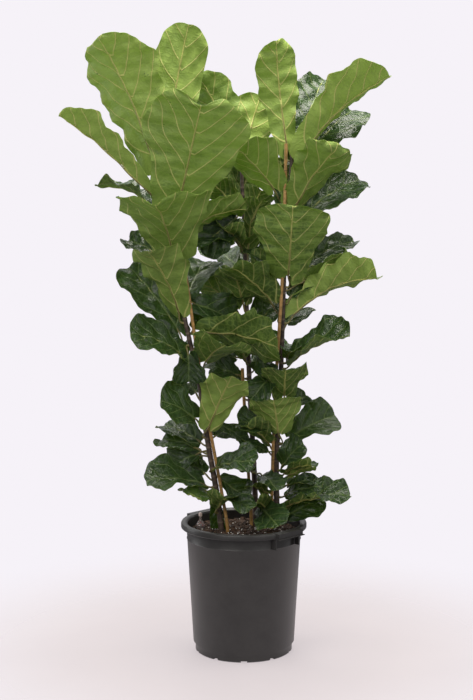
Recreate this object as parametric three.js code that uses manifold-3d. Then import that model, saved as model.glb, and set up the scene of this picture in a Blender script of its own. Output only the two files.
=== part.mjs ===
// A potted fiddle leaf fig: three leafy stems, each tied to a bamboo cane, in a black nursery pot
// with two grips on its rim, and a feeder ampoule pushed into the potting mix.
// Millimetres, +Z up. The origin is the centre of the pot's underside, the front looks along -Y.
import * as THREE from "three";
import { mergeGeometries, mergeVertices } from "three/addons/utils/BufferGeometryUtils.js";
import Module from "manifold-3d";

// ---- Driving dimensions ----------------------------------------------------------------------

const GAP = 0.3; // clearance between pieces that touch

// Pot, moulded in one piece
const POT_HEIGHT = 360;
const POT_WALL = 3;
const POT_FLOOR = 4;
const POT_TOP_RADIUS = 157; // outside of the wall, just under the rim
const POT_LOW_RADIUS = 139; // outside of the wall, just over the foot band
const POT_SIDES = 60; // flats that stand for the round
const FOOT_STEP = 6; // how far the foot band is set in from the wall
const FOOT_HEIGHT = 24;
const RIM_PROUD = 15; // how far the rim stands out from the wall
const RIM_DEPTH = 16;
const RIM_ROUND = 5; // radius of the rolled edge
const RING_DROP = 44; // from the rim's top down to the moulded ring line
const RING_PROUD = 1.2;
const DRAIN_COUNT = 10;
const DRAIN_WIDTH = 17;
const DRAIN_HEIGHT = 6;

// Grips on the rim
const GRIP_TURN = 45; // degrees from the front, towards the right; the second is opposite
const GRIP_LENGTH = 92;
const GRIP_DEPTH = 15;
const GRIP_PROUD = 6; // how far its flat outer face stands out from the rim
const GRIP_PLATE = 4; // thickness of the grip's plates
const GRIP_LIP = 4; // how far its lower edge stands out past the flat face
const RIB_WIDTH = 4;
const RIB_HEIGHT = 30;

// Potting mix
const MIX_DROP = 31; // from the rim's top to the mix at the wall
const MIX_CROWN = 6; // how much higher the mix is in the middle
const ROOTED = 90; // how deep stems and canes go into the mix

// Stems and canes
const STEM_LOW_RADIUS = 8.5;
const STEM_TOP_RADIUS = 4.5;
const CANE_RADIUS = 4.5;
const TUBE_SIDES = 9;
const TUBE_STEPS = 14;

// Ties
const TIE_THICK = 1.6;
const TIE_DEPTH = 5;
const TIE_SLACK = 1; // between a tie and what it holds

// Feeder ampoule, standing in the mix with its neck up
const FEEDER_RADIUS = 14;
const FEEDER_BODY = 58; // length of its round body
const FEEDER_NECK = 17;
const FEEDER_NECK_RADIUS = 3.4;
const FEEDER_SUNK = 36; // length of body in the mix
const FEEDER_INSET = 36; // from the outside of the pot's wall to the ampoule's axis
const FEEDER_TURN = 170; // degrees round the pot from the right
const CAP_HEIGHT = 9;
const CAP_RADIUS = 5;

// Leaves
const LEAF_THICK = 2.2; // half-thickness at the midrib; plain solids are thicker than real leaves
const RIB_PROUD = 1.6; // how far the midrib stands out underneath
const STALK_RADIUS = 2.6;
const STALK_CLEARANCE = 1; // between a leaf stalk and its stem

const FOOT_RADIUS = POT_LOW_RADIUS - FOOT_STEP;
const RIM_RADIUS = POT_TOP_RADIUS + RIM_PROUD;
const GRIP_REACH = RIM_RADIUS + GRIP_PROUD;
const MIX_LEVEL = POT_HEIGHT - MIX_DROP;

// ---- Solids ----------------------------------------------------------------------------------

const wasm = await Module();
wasm.setup();
const { Manifold, Mesh } = wasm;

function rad(degrees) {
  return (degrees * Math.PI) / 180;
}

function toManifold(geometry) {
  const bare = new THREE.BufferGeometry();
  const source = geometry.index ? geometry.toNonIndexed() : geometry;
  bare.setAttribute("position", source.getAttribute("position"));
  const merged = mergeVertices(bare, 1e-4);
  return new Manifold(
    new Mesh({
      numProp: 3,
      vertProperties: new Float32Array(merged.attributes.position.array),
      triVerts: new Uint32Array(merged.index.array),
    }),
  );
}

function toGeometry(solid) {
  const mesh = solid.getMesh();
  const geometry = new THREE.BufferGeometry();
  geometry.setAttribute("position", new THREE.BufferAttribute(mesh.vertProperties, 3));
  geometry.setIndex(new THREE.BufferAttribute(mesh.triVerts, 1));
  return geometry;
}

// A closed skin over rings of points that all run the same way round, with a point at each end.
function loft(start, rings, end) {
  const count = rings[0].length;
  const points = [start, ...rings.flat(), end];
  const last = points.length - 1;
  const index = [];
  for (let j = 0; j < count; j++) {
    const k = (j + 1) % count;
    index.push(0, 1 + k, 1 + j);
    const top = 1 + (rings.length - 1) * count;
    index.push(last, top + j, top + k);
  }
  for (let i = 0; i + 1 < rings.length; i++) {
    for (let j = 0; j < count; j++) {
      const k = (j + 1) % count;
      const here = 1 + i * count;
      const next = here + count;
      index.push(here + j, here + k, next + k);
      index.push(here + j, next + k, next + j);
    }
  }
  const geometry = new THREE.BufferGeometry();
  const flat = points.flatMap((p) => [p.x, p.y, p.z]);
  geometry.setAttribute("position", new THREE.Float32BufferAttribute(flat, 3));
  geometry.setIndex(index);
  return geometry;
}

// A round bar along a curve, whose radius may change along it.
function bar(curve, radiusAt, sides = TUBE_SIDES, steps = TUBE_STEPS) {
  const rings = [];
  for (let i = 0; i <= steps; i++) {
    const t = i / steps;
    const middle = curve.getPointAt(t);
    const along = curve.getTangentAt(t);
    const across = new THREE.Vector3(0, 1, 0).cross(along).normalize();
    const back = along.clone().cross(across);
    const ring = [];
    for (let j = 0; j < sides; j++) {
      const turn = (j / sides) * 2 * Math.PI;
      const point = middle.clone();
      point.addScaledVector(across, Math.cos(turn) * radiusAt(t));
      point.addScaledVector(back, Math.sin(turn) * radiusAt(t));
      ring.push(point);
    }
    rings.push(ring);
  }
  return loft(curve.getPointAt(0), rings, curve.getPointAt(1));
}

// ---- Pot -------------------------------------------------------------------------------------

// Outside radius of the pot's wall at a height.
function wallRadius(z) {
  const share = (z - FOOT_HEIGHT) / (POT_HEIGHT - RIM_DEPTH - FOOT_HEIGHT);
  return THREE.MathUtils.lerp(POT_LOW_RADIUS, POT_TOP_RADIUS, share);
}

// Inside radius of the wall at a height over the foot band.
function insideRadius(z) {
  const share = (z - FOOT_HEIGHT) / (POT_HEIGHT - RIM_ROUND - FOOT_HEIGHT);
  return THREE.MathUtils.lerp(POT_LOW_RADIUS, POT_TOP_RADIUS, share) - POT_WALL;
}

function potGeometry() {
  const rimLow = POT_HEIGHT - RIM_DEPTH;
  const ringTop = POT_HEIGHT - RING_DROP;
  const profile = [
    [0, 0],
    [FOOT_RADIUS - 4, 0],
    [FOOT_RADIUS, 3],
    [FOOT_RADIUS, FOOT_HEIGHT - 5],
    [POT_LOW_RADIUS, FOOT_HEIGHT + 3],
    [wallRadius(ringTop - 4), ringTop - 4],
    [wallRadius(ringTop) + RING_PROUD, ringTop - 2],
    [wallRadius(ringTop), ringTop],
    [POT_TOP_RADIUS, rimLow],
    [RIM_RADIUS - 2, rimLow],
    [RIM_RADIUS, rimLow + 2],
    [RIM_RADIUS, POT_HEIGHT - RIM_ROUND],
    [RIM_RADIUS - 0.3 * RIM_ROUND, POT_HEIGHT - 0.3 * RIM_ROUND],
    [RIM_RADIUS - RIM_ROUND, POT_HEIGHT],
    [POT_TOP_RADIUS + 1, POT_HEIGHT - 1],
    [insideRadius(POT_HEIGHT - RIM_ROUND), POT_HEIGHT - RIM_ROUND],
    [insideRadius(FOOT_HEIGHT + 3), FOOT_HEIGHT + 3],
    [FOOT_RADIUS - POT_WALL, FOOT_HEIGHT - 5],
    [FOOT_RADIUS - POT_WALL, POT_FLOOR],
    [0, POT_FLOOR],
  ];
  const outline = profile.map(([r, z]) => new THREE.Vector2(r, z));
  const turned = new THREE.LatheGeometry(outline, POT_SIDES).rotateX(Math.PI / 2);
  let pot = toManifold(turned);
  const hull = toManifold(
    new THREE.LatheGeometry(
      [
        new THREE.Vector2(0, rimLow - RIB_HEIGHT - 1),
        new THREE.Vector2(wallRadius(rimLow - RIB_HEIGHT) - 1, rimLow - RIB_HEIGHT - 1),
        new THREE.Vector2(POT_TOP_RADIUS - 1, POT_HEIGHT + 1),
        new THREE.Vector2(0, POT_HEIGHT + 1),
      ],
      POT_SIDES,
    ).rotateX(Math.PI / 2),
  );
  for (const turn of [GRIP_TURN, GRIP_TURN + 180]) {
    const grip = gripSolid().subtract(hull.rotate([0, 0, -turn])).rotate([0, 0, turn]);
    pot = pot.add(grip);
  }
  for (let i = 0; i < DRAIN_COUNT; i++) {
    const notch = Manifold.cube([10 * POT_WALL, DRAIN_WIDTH, 2 * DRAIN_HEIGHT], true);
    const turn = ((i + 0.5) / DRAIN_COUNT) * 360;
    pot = pot.subtract(notch.translate([FOOT_RADIUS, 0, 0]).rotate([0, 0, turn]));
  }
  return toGeometry(pot);
}

// One grip, drawn at the front: a flat-faced bar with a lip, and a rib under each end.
function gripSolid() {
  const inner = POT_TOP_RADIUS - 2 * POT_WALL;
  const low = POT_HEIGHT - GRIP_DEPTH;
  const front = -GRIP_REACH;
  const box = (width, from, to, z0, z1, x = 0) =>
    Manifold.cube([width, to - from, z1 - z0]).translate([x - width / 2, from, z0]);
  let grip = box(GRIP_LENGTH, front, -inner, POT_HEIGHT - GRIP_PLATE - 1, POT_HEIGHT - 1);
  grip = grip.add(box(GRIP_LENGTH, front, front + GRIP_PLATE, low, POT_HEIGHT - 1));
  grip = grip.add(box(GRIP_LENGTH + 6, front - GRIP_LIP, front + GRIP_PLATE, low - 2, low));
  for (const side of [-1, 1]) {
    const x = (side * (GRIP_LENGTH - RIB_WIDTH)) / 2;
    grip = grip.add(box(RIB_WIDTH, front + 1, -inner, low, POT_HEIGHT - 1, x));
    const foot = POT_HEIGHT - RIM_DEPTH - RIB_HEIGHT;
    grip = grip.add(box(RIB_WIDTH, -POT_TOP_RADIUS - 8, -inner, foot, low, x));
  }
  return grip;
}

// ---- Stems and canes -------------------------------------------------------------------------

const v3 = (x, y, z) => new THREE.Vector3(x, y, z);
const UP = v3(0, 0, 1);

// Points that a stem's middle line goes through, their heights above the mix.
const STEM_ROUTES = {
  left: [
    v3(-58, -20, -ROOTED),
    v3(-60, -24, 0),
    v3(-74, -28, 116),
    v3(-100, -34, 271),
    v3(-122, -40, 431),
    v3(-160, -44, 601),
    v3(-178, -48, 741),
    v3(-196, -50, 871),
    v3(-224, -50, 1006),
  ],
  centre: [
    v3(34, 62, -ROOTED),
    v3(34, 60, 0),
    v3(28, 58, 171),
    v3(17, 60, 371),
    v3(10, 64, 551),
    v3(2, 68, 791),
    v3(-8, 72, 1016),
  ],
  right: [
    v3(92, 14, -ROOTED),
    v3(92, 12, 0),
    v3(89, 10, 191),
    v3(98, 10, 371),
    v3(104, 12, 551),
    v3(110, 14, 731),
    v3(120, 16, 891),
    v3(128, 18, 1021),
  ],
};

// Canes are nearly straight, so a few points do.
const CANE_ROUTES = {
  left: [v3(-38, -34, -ROOTED), v3(-42, -36, 0), v3(-108, -52, 391), v3(-160, -60, 746)],
  centre: [v3(22, 46, -ROOTED), v3(22, 45, 0), v3(8, 44, 231), v3(-4, 46, 446)],
  right: [v3(74, 4, -ROOTED), v3(75, 3, 0), v3(84, -4, 371), v3(104, -2, 711), v3(112, 0, 1056)],
};

// A smooth curve for each route, by name.
function curvesOf(routes) {
  const curves = {};
  for (const [name, route] of Object.entries(routes)) {
    const raised = route.map((point) => point.clone().setZ(point.z + MIX_LEVEL));
    curves[name] = new THREE.CatmullRomCurve3(raised);
  }
  return curves;
}

const stems = curvesOf(STEM_ROUTES);
const canes = curvesOf(CANE_ROUTES);

const stemRadius = (t) => THREE.MathUtils.lerp(STEM_LOW_RADIUS, STEM_TOP_RADIUS, t);

// Where a curve that climbs passes a height, as a share of its length.
function shareAtHeight(curve, z) {
  let low = 0;
  let high = 1;
  for (let i = 0; i < 30; i++) {
    const middle = (low + high) / 2;
    if (curve.getPointAt(middle).z < z) low = middle;
    else high = middle;
  }
  return low;
}

// ---- Ties ------------------------------------------------------------------------------------

// Each tie is an oval band round a stem and its cane, at a height above the mix.
const TIES = [
  { name: "tie_left_low", stem: "left", height: 436 },
  { name: "tie_left_high", stem: "left", height: 723 },
  { name: "tie_right", stem: "right", height: 776 },
];

function tieGeometry({ stem, height }) {
  const share = shareAtHeight(stems[stem], MIX_LEVEL + height);
  const middle = stems[stem].getPointAt(share);
  const up = stems[stem].getTangentAt(share);
  const cane = canes[stem].getPointAt(shareAtHeight(canes[stem], MIX_LEVEL + height));
  const toCane = cane.sub(middle).setZ(0);
  const radius = Math.max(stemRadius(share), CANE_RADIUS) + TIE_SLACK;
  const apart = toCane.length();
  const oval = (grow, depth) => {
    const ends = [0, apart].map((x) =>
      Manifold.cylinder(depth, radius + grow, radius + grow, 14, true).translate([x, 0, 0]),
    );
    return Manifold.hull(ends);
  };
  const band = oval(TIE_THICK, TIE_DEPTH).subtract(oval(0, 2 * TIE_DEPTH));
  const geometry = toGeometry(band);
  const across = toCane.clone().addScaledVector(up, -toCane.dot(up)).normalize();
  const back = up.clone().cross(across);
  geometry.applyMatrix4(new THREE.Matrix4().makeBasis(across, back, up).setPosition(middle));
  return geometry;
}

// ---- Feeder ampoule --------------------------------------------------------------------------

const FEEDER_FOOT = MIX_LEVEL - FEEDER_SUNK;
const FEEDER_TOP = FEEDER_FOOT + FEEDER_BODY + FEEDER_NECK;
const FEEDER_AXIS = v3(POT_TOP_RADIUS - FEEDER_INSET, 0, 0).applyAxisAngle(UP, rad(FEEDER_TURN));

function feederGeometry(grow = 0) {
  const shoulder = FEEDER_BODY - 8;
  const outline = [
    new THREE.Vector2(0, -grow),
    new THREE.Vector2(FEEDER_RADIUS - 2 + grow, -grow),
    new THREE.Vector2(FEEDER_RADIUS + grow, 2),
    new THREE.Vector2(FEEDER_RADIUS + grow, shoulder),
    new THREE.Vector2(FEEDER_RADIUS * 0.7 + grow, FEEDER_BODY),
    new THREE.Vector2(FEEDER_NECK_RADIUS, FEEDER_BODY + FEEDER_NECK),
    new THREE.Vector2(0, FEEDER_BODY + FEEDER_NECK),
  ];
  const turned = new THREE.LatheGeometry(outline, 20).rotateX(Math.PI / 2);
  return turned.translate(FEEDER_AXIS.x, FEEDER_AXIS.y, FEEDER_FOOT);
}

function capGeometry() {
  const outline = [
    new THREE.Vector2(0, 0),
    new THREE.Vector2(CAP_RADIUS, 0),
    new THREE.Vector2(CAP_RADIUS, CAP_HEIGHT - 2),
    new THREE.Vector2(CAP_RADIUS - 1.5, CAP_HEIGHT),
    new THREE.Vector2(0, CAP_HEIGHT),
  ];
  const turned = new THREE.LatheGeometry(outline, 14).rotateX(Math.PI / 2);
  return turned.translate(FEEDER_AXIS.x, FEEDER_AXIS.y, FEEDER_TOP + GAP);
}

// ---- Potting mix -----------------------------------------------------------------------------

function mixGeometry() {
  const low = FOOT_RADIUS - POT_WALL - GAP;
  const top = insideRadius(MIX_LEVEL) - GAP;
  const outline = [
    new THREE.Vector2(0, POT_FLOOR + GAP),
    new THREE.Vector2(low - 1, POT_FLOOR + GAP),
    new THREE.Vector2(low - 1, FOOT_HEIGHT - 5),
    new THREE.Vector2(insideRadius(FOOT_HEIGHT + 5) - GAP, FOOT_HEIGHT + 5),
    new THREE.Vector2(top, MIX_LEVEL),
    new THREE.Vector2(top * 0.6, MIX_LEVEL + MIX_CROWN * 0.6),
    new THREE.Vector2(0, MIX_LEVEL + MIX_CROWN),
  ];
  let mix = toManifold(new THREE.LatheGeometry(outline, POT_SIDES).rotateX(Math.PI / 2));
  for (const curve of Object.values(stems)) {
    mix = mix.subtract(toManifold(bar(curve, (t) => stemRadius(t) + GAP)));
  }
  for (const curve of Object.values(canes)) {
    mix = mix.subtract(toManifold(bar(curve, () => CANE_RADIUS + GAP, 8, 8)));
  }
  return toGeometry(mix.subtract(toManifold(feederGeometry(GAP))));
}

// ---- Leaves ----------------------------------------------------------------------------------

// A blade's outline from its stalk to its tip: the share of its length, its half-width as a share
// of the widest, and how far its edge hangs back towards the stalk, as a share of its length.
const BLADE_OUTLINE = [
  { along: 0.0, half: 0.12, back: 0.02 },
  { along: 0.04, half: 0.36, back: 0.05 },
  { along: 0.15, half: 0.54, back: 0.03 },
  { along: 0.3, half: 0.68, back: 0.0 },
  { along: 0.46, half: 0.85, back: 0.0 },
  { along: 0.62, half: 0.99, back: 0.0 },
  { along: 0.77, half: 0.97, back: 0.0 },
  { along: 0.89, half: 0.77, back: 0.0 },
  { along: 0.965, half: 0.45, back: 0.0 },
];

// Angles of a stalk's points, in the order of a blade's: edge, upper side, edge, under side.
const STALK_ANGLES = [0, 45, 90, 135, 180, 225, 258, 282, 315];

const ARCH = 0.36; // how far a leaf's leaving and ending directions carry, as a share of its length
const RIB_HALF = 0.08; // half-width of the midrib as a share of the blade's

const LEAF_HABIT = { stalk: 38, turn: 0, lift: 18, curl: 22, fold: 14, cup: 6 };

// reach is from the stem to the leaf's tip. face is where its upper side looks. lift and curl are
// how steeply it leaves and ends against the straight line to its tip; fold and cup raise its edges.
// turn is how far round the stem the stalk starts from the side that the leaf reaches to.
function leafGeometry(leaf) {
  const { stem, at, reach, face, wide, stalk, turn, lift, curl, fold, cup } = {
    ...LEAF_HABIT,
    ...leaf,
  };
  const share = shareAtHeight(stems[stem], MIX_LEVEL + at);
  const straight = v3(...reach);
  const out = straight.clone().setZ(0).normalize().applyAxisAngle(UP, rad(turn));
  const root = stems[stem].getPointAt(share);
  root.addScaledVector(out, stemRadius(share) + STALK_CLEARANCE + STALK_RADIUS);
  const tip = stems[stem].getPointAt(share).add(straight);
  const chord = tip.clone().sub(root);
  const length = chord.length();
  const along = chord.clone().normalize();
  const look = v3(...face);
  const normal = look.addScaledVector(along, -look.dot(along)).normalize();
  const leaving = along.clone().multiplyScalar(Math.cos(rad(lift)));
  leaving.addScaledVector(normal, Math.sin(rad(lift)));
  const ending = along.clone().multiplyScalar(Math.cos(rad(curl)));
  ending.addScaledVector(normal, -Math.sin(rad(curl)));
  const path = new THREE.CubicBezierCurve3(
    root,
    root.clone().addScaledVector(leaving, length * ARCH),
    tip.clone().addScaledVector(ending, -length * ARCH),
    tip,
  );
  const frameAt = (t) => {
    const tangent = path.getTangentAt(t);
    const up = normal.clone().addScaledVector(tangent, -normal.dot(tangent)).normalize();
    return { middle: path.getPointAt(t), tangent, up, across: up.clone().cross(tangent) };
  };
  const stalkShare = stalk / path.getLength();
  const rings = [];
  for (const t of [0, 0.9 * stalkShare]) {
    const { middle, up, across } = frameAt(t);
    rings.push(
      STALK_ANGLES.map((angle) =>
        middle
          .clone()
          .addScaledVector(across, STALK_RADIUS * Math.cos(rad(angle)))
          .addScaledVector(up, STALK_RADIUS * Math.sin(rad(angle))),
      ),
    );
  }
  const bladeLength = length * (1 - stalkShare);
  for (const { along: part, half, back } of BLADE_OUTLINE) {
    const { middle, tangent, up, across } = frameAt(stalkShare + part * (1 - stalkShare));
    const reachOut = (wide / 2) * half;
    const thin = LEAF_THICK * Math.min(1, 0.5 + half * 0.7);
    const point = (side, rise) => {
      const inner = Math.min(Math.abs(side), 0.5);
      const outer = Math.abs(side) - inner;
      const x = inner * Math.cos(rad(fold)) + outer * Math.cos(rad(fold + cup));
      const y = inner * Math.sin(rad(fold)) + outer * Math.sin(rad(fold + cup));
      return middle
        .clone()
        .addScaledVector(across, Math.sign(side) * x * reachOut)
        .addScaledVector(up, y * reachOut + rise)
        .addScaledVector(tangent, -back * bladeLength * side * side);
    };
    rings.push([
      point(1, 0),
      point(0.5, 0.7 * thin),
      point(0, thin),
      point(-0.5, 0.7 * thin),
      point(-1, 0),
      point(-0.5, -0.7 * thin),
      point(-RIB_HALF, -thin - RIB_PROUD),
      point(RIB_HALF, -thin - RIB_PROUD),
      point(0.5, -0.7 * thin),
    ]);
  }
  return loft(root, rings, tip);
}

// at is how high above the mix each leaf leaves its stem. They run from the top of each stem down.
const LEAVES = {
  left: [
    { at: 993, reach: [76, 80, 384], face: [-0.1, 0.9, 0.2], wide: 152, lift: 8 },
    { at: 967, reach: [-170, 0, 366], face: [0.35, 0.85, 0.3], wide: 226, lift: 6, stalk: 52, turn: -50 },
    {
      at: 887, reach: [-292, -20, 245], face: [0.3, 0.4, 0.9], wide: 138,
      fold: 38, stalk: 62, lift: 3, curl: 8,
    },
    { at: 855, reach: [-200, 110, 80], face: [0, 0.1, 1], wide: 150, curl: 34 },
    { at: 837, reach: [88, -125, 350], face: [0.05, 0.9, 0.35], wide: 275, lift: 0, curl: 10, fold: 8 },
    { at: 811, reach: [200, 30, 72], face: [0, 0.6, 0.8], wide: 120 },
    { at: 737, reach: [-50, -185, 166], face: [0.1, 0.7, 0.7], wide: 262, fold: 18, lift: 10 },
    { at: 626, reach: [60, 150, 110], face: [0, -0.5, 0.8], wide: 130 },
    { at: 581, reach: [-95, -125, 200], face: [0.3, 0.8, 0.5], wide: 150, turn: -40 },
    { at: 551, reach: [242, -100, -28], face: [0.1, 0.85, 0.5], wide: 165, lift: 24, fold: 8, turn: 60 },
    { at: 513, reach: [-176, 75, 215], face: [0.2, -0.75, 0.55], wide: 150, stalk: 55 },
    { at: 477, reach: [-173, -90, 85], face: [0, -0.6, 0.8], wide: 150 },
    { at: 453, reach: [80, -150, 84], face: [0, 0.75, 0.6], wide: 165, turn: 90 },
    { at: 303, reach: [-122, -90, 82], face: [0, -0.7, 0.7], wide: 145 },
    {
      at: 269, reach: [70, -118, 184], face: [-0.1, 0.9, 0.3], wide: 130,
      fold: 6, lift: -8, stalk: 50, turn: -90,
    },
    { at: 223, reach: [-137, 60, 28], face: [0, -0.4, 0.9], wide: 125 },
    { at: 176, reach: [118, -105, 45], face: [0, -0.6, 0.8], wide: 105, turn: -90 },
    { at: 161, reach: [95, 50, -85], face: [0.3, -0.8, 0.4], wide: 95, stalk: 26, turn: 60 },
    { at: 131, reach: [-192, -70, 30], face: [0, -0.45, 0.9], wide: 142 },
    { at: 111, reach: [-85, 50, 5], face: [0, -0.5, 0.8], wide: 90, stalk: 28 },
    { at: 96, reach: [95, -110, -5], face: [0, -0.3, 1], wide: 80, stalk: 36, turn: -90 },
  ],
  centre: [
    { at: 1003, reach: [57, 130, 190], face: [0, 0.9, 0.4], wide: 150 },
    { at: 993, reach: [-122, 60, 250], face: [0.3, 0.8, 0.3], wide: 130, turn: -40 },
    { at: 761, reach: [-60, -110, 70], face: [0, -0.3, 0.9], wide: 110 },
    { at: 691, reach: [-80, 150, 60], face: [0, -0.4, 0.9], wide: 150 },
    { at: 581, reach: [-125, 20, 95], face: [0.2, 0.7, 0.6], wide: 120 },
    { at: 461, reach: [-110, 120, 70], face: [0, -0.2, 1], wide: 150 },
    { at: 431, reach: [120, 150, 60], face: [0, -0.2, 1], wide: 150 },
    { at: 153, reach: [62, -155, -20], face: [0, -0.4, 0.9], wide: 80, stalk: 50 },
    { at: 66, reach: [62, -195, -22], face: [-0.35, -0.6, 0.75], wide: 104, stalk: 66, curl: 10 },
  ],
  right: [
    { at: 1009, reach: [-42, 0, 324], face: [-0.2, 0.9, 0.2], wide: 118, lift: 8, turn: -30 },
    { at: 999, reach: [98, 220, 238], face: [0, -0.8, 0.5], wide: 135, turn: 20 },
    { at: 989, reach: [266, -20, 247], face: [-0.35, 0.6, 0.75], wide: 185, fold: 30, stalk: 52 },
    { at: 959, reach: [182, 212, 190], face: [0, -0.7, 0.7], wide: 165 },
    { at: 879, reach: [-146, -100, 166], face: [0.3, 0.8, 0.5], wide: 175, stalk: 72, turn: -90 },
    { at: 863, reach: [138, -110, 180], face: [-0.3, 0.8, 0.5], wide: 165, curl: 34 },
    { at: 829, reach: [206, 100, 130], face: [0, -0.6, 0.8], wide: 155 },
    { at: 663, reach: [236, 30, 74], face: [-0.2, 0.7, 0.7], wide: 105, curl: 20 },
    {
      at: 671, reach: [20, -125, 236], face: [0, 0.95, 0.3], wide: 205,
      fold: 8, lift: -14, stalk: 50, turn: 80, curl: -14,
    },
    { at: 593, reach: [-145, -105, 140], face: [0.3, 0.7, 0.6], wide: 145, stalk: 56, turn: -90 },
    { at: 573, reach: [256, -60, 126], face: [-0.2, 0.75, 0.65], wide: 148, fold: 38, lift: 36, curl: 34 },
    { at: 450, reach: [188, -60, 94], face: [-0.2, -0.3, 0.9], wide: 160, fold: 30 },
    {
      at: 352, reach: [14, -120, 112], face: [-0.1, 0.9, 0.4], wide: 135,
      turn: 60, stalk: 50, lift: -22,
    },
    {
      at: 245, reach: [-14, -105, 135], face: [0.1, 0.9, 0.3], wide: 150,
      stalk: 56, turn: 70, lift: -26,
    },
    { at: 241, reach: [165, 30, 78], face: [0, -0.7, 0.7], wide: 130 },
    { at: 95, reach: [128, -55, 40], face: [0, -0.6, 0.8], wide: 90 },
    { at: 73, reach: [205, -30, 32], face: [0, -0.5, 0.85], wide: 95 },
  ],
};

// ---- The plant in its pot --------------------------------------------------------------------

const COLOURS = {
  pot: { color: 0x3a3a3b, roughness: 0.45, metalness: 0 },
  mix: { color: 0x4a382a, roughness: 1, metalness: 0 },
  stem: { color: 0x43332c, roughness: 0.8, metalness: 0 },
  cane: { color: 0xb08a58, roughness: 0.6, metalness: 0 },
  tie: { color: 0x1e1e1e, roughness: 0.5, metalness: 0 },
  feeder: { color: 0x4a1420, roughness: 0.2, metalness: 0 },
  cap: { color: 0xd9a8a0, roughness: 0.4, metalness: 0 },
  leaf: { color: 0x55793a, roughness: 0.5, metalness: 0 },
};

const plant = new THREE.Group();

function addPiece(name, geometry, finish) {
  const mesh = new THREE.Mesh(geometry, new THREE.MeshStandardMaterial(COLOURS[finish]));
  mesh.name = name;
  plant.add(mesh);
}

addPiece("pot", potGeometry(), "pot");
addPiece("potting_mix", mixGeometry(), "mix");
for (const [name, curve] of Object.entries(stems)) {
  addPiece(`stem_${name}`, bar(curve, stemRadius), "stem");
}
for (const [name, curve] of Object.entries(canes)) {
  addPiece(`cane_${name}`, bar(curve, () => CANE_RADIUS, 8, 8), "cane");
}
for (const tie of TIES) addPiece(tie.name, tieGeometry(tie), "tie");
addPiece("feeder_bottle", feederGeometry(), "feeder");
addPiece("feeder_cap", capGeometry(), "cap");
for (const [stem, leaves] of Object.entries(LEAVES)) {
  leaves.forEach((leaf, i) => {
    const number = String(i + 1).padStart(2, "0");
    addPiece(`leaf_${stem}_${number}`, leafGeometry({ stem, ...leaf }), "leaf");
  });
}

export default plant;
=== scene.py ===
import math

import bpy
import numpy as np
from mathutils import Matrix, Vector


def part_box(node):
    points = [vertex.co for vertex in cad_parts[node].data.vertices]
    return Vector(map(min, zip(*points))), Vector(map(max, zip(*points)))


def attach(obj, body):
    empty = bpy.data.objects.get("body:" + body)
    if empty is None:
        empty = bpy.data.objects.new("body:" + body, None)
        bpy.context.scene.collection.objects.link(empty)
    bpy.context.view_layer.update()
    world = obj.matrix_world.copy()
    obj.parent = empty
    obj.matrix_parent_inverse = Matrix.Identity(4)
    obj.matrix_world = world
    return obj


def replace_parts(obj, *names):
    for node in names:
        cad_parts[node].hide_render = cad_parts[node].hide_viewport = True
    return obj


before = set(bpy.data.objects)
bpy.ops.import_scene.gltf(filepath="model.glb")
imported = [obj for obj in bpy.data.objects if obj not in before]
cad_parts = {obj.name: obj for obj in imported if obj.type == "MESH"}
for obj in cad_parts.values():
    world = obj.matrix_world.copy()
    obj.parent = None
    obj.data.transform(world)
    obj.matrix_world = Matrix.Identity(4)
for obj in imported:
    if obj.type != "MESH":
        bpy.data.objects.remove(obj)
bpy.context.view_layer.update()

scene = bpy.context.scene

# ---- Camera, stage and light ------------------------------------------------------------------

EYE = (-0.02, -4.4, 1.395)
LOOK_DOWN = 7.3  # degrees below the horizon
LENS = 84.4
ROOM_WHITE = "#f6f2f8"
ROOM_LIGHT = 0.3  # how strongly the white room lights the plant
STAGE_RADIUS = 3.2
STAGE_CORNERS = 96
STAGE_FADE = (0.35, 1.15)  # metres from the middle where the floor starts and ends thinning out
MM = 0.001

camera = bpy.data.objects.new("camera", bpy.data.cameras.new("camera"))
camera.location = EYE
camera.rotation_euler = (math.radians(90 - LOOK_DOWN), 0, 0)
camera.data.lens = LENS
camera.data.sensor_width = 36
camera.data.clip_end = 50
scene.collection.objects.link(camera)
scene.camera = camera
scene.view_settings.view_transform = "Standard"


def srgb(code):
    """An sRGB hex colour as linear red, green, blue and alpha."""
    values = [int(code[i : i + 2], 16) / 255 for i in (1, 3, 5)]
    linear = [v / 12.92 if v <= 0.04045 else ((v + 0.055) / 1.055) ** 2.4 for v in values]
    return (*linear, 1.0)


def node(tree, kind, sockets=None, take=0, stops=None, **settings):
    """Adds a node and gives back one of its outputs. A socket is set, or linked if given an output."""
    made = tree.nodes.new(kind)
    for key, value in settings.items():
        setattr(made, key, value)
    if stops:
        ramp = made.color_ramp.elements
        while len(ramp) < len(stops):
            ramp.new(0.5)
        for element, (position, code) in zip(ramp, stops):
            element.position = position
            element.color = srgb(code)
    for key, value in (sockets or {}).items():
        if isinstance(value, bpy.types.NodeSocket):
            tree.links.new(value, made.inputs[key])
        else:
            made.inputs[key].default_value = value
    return made.outputs[take] if len(made.outputs) else made


def new_material(name):
    """An empty node material and its tree."""
    made = bpy.data.materials.new(name)
    made.use_nodes = True
    made.node_tree.nodes.clear()
    return made, made.node_tree


def softbox(name, place, aim, width, height, power, code):
    """A rectangular studio light."""
    lamp = bpy.data.lights.new(name, "AREA")
    lamp.shape = "RECTANGLE"
    lamp.size = width
    lamp.size_y = height
    lamp.energy = power
    lamp.color = srgb(code)[:3]
    held = bpy.data.objects.new(name, lamp)
    held.location = place
    held.rotation_euler = (Vector(aim) - Vector(place)).to_track_quat("-Z", "Y").to_euler()
    held.visible_camera = False
    scene.collection.objects.link(held)


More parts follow.
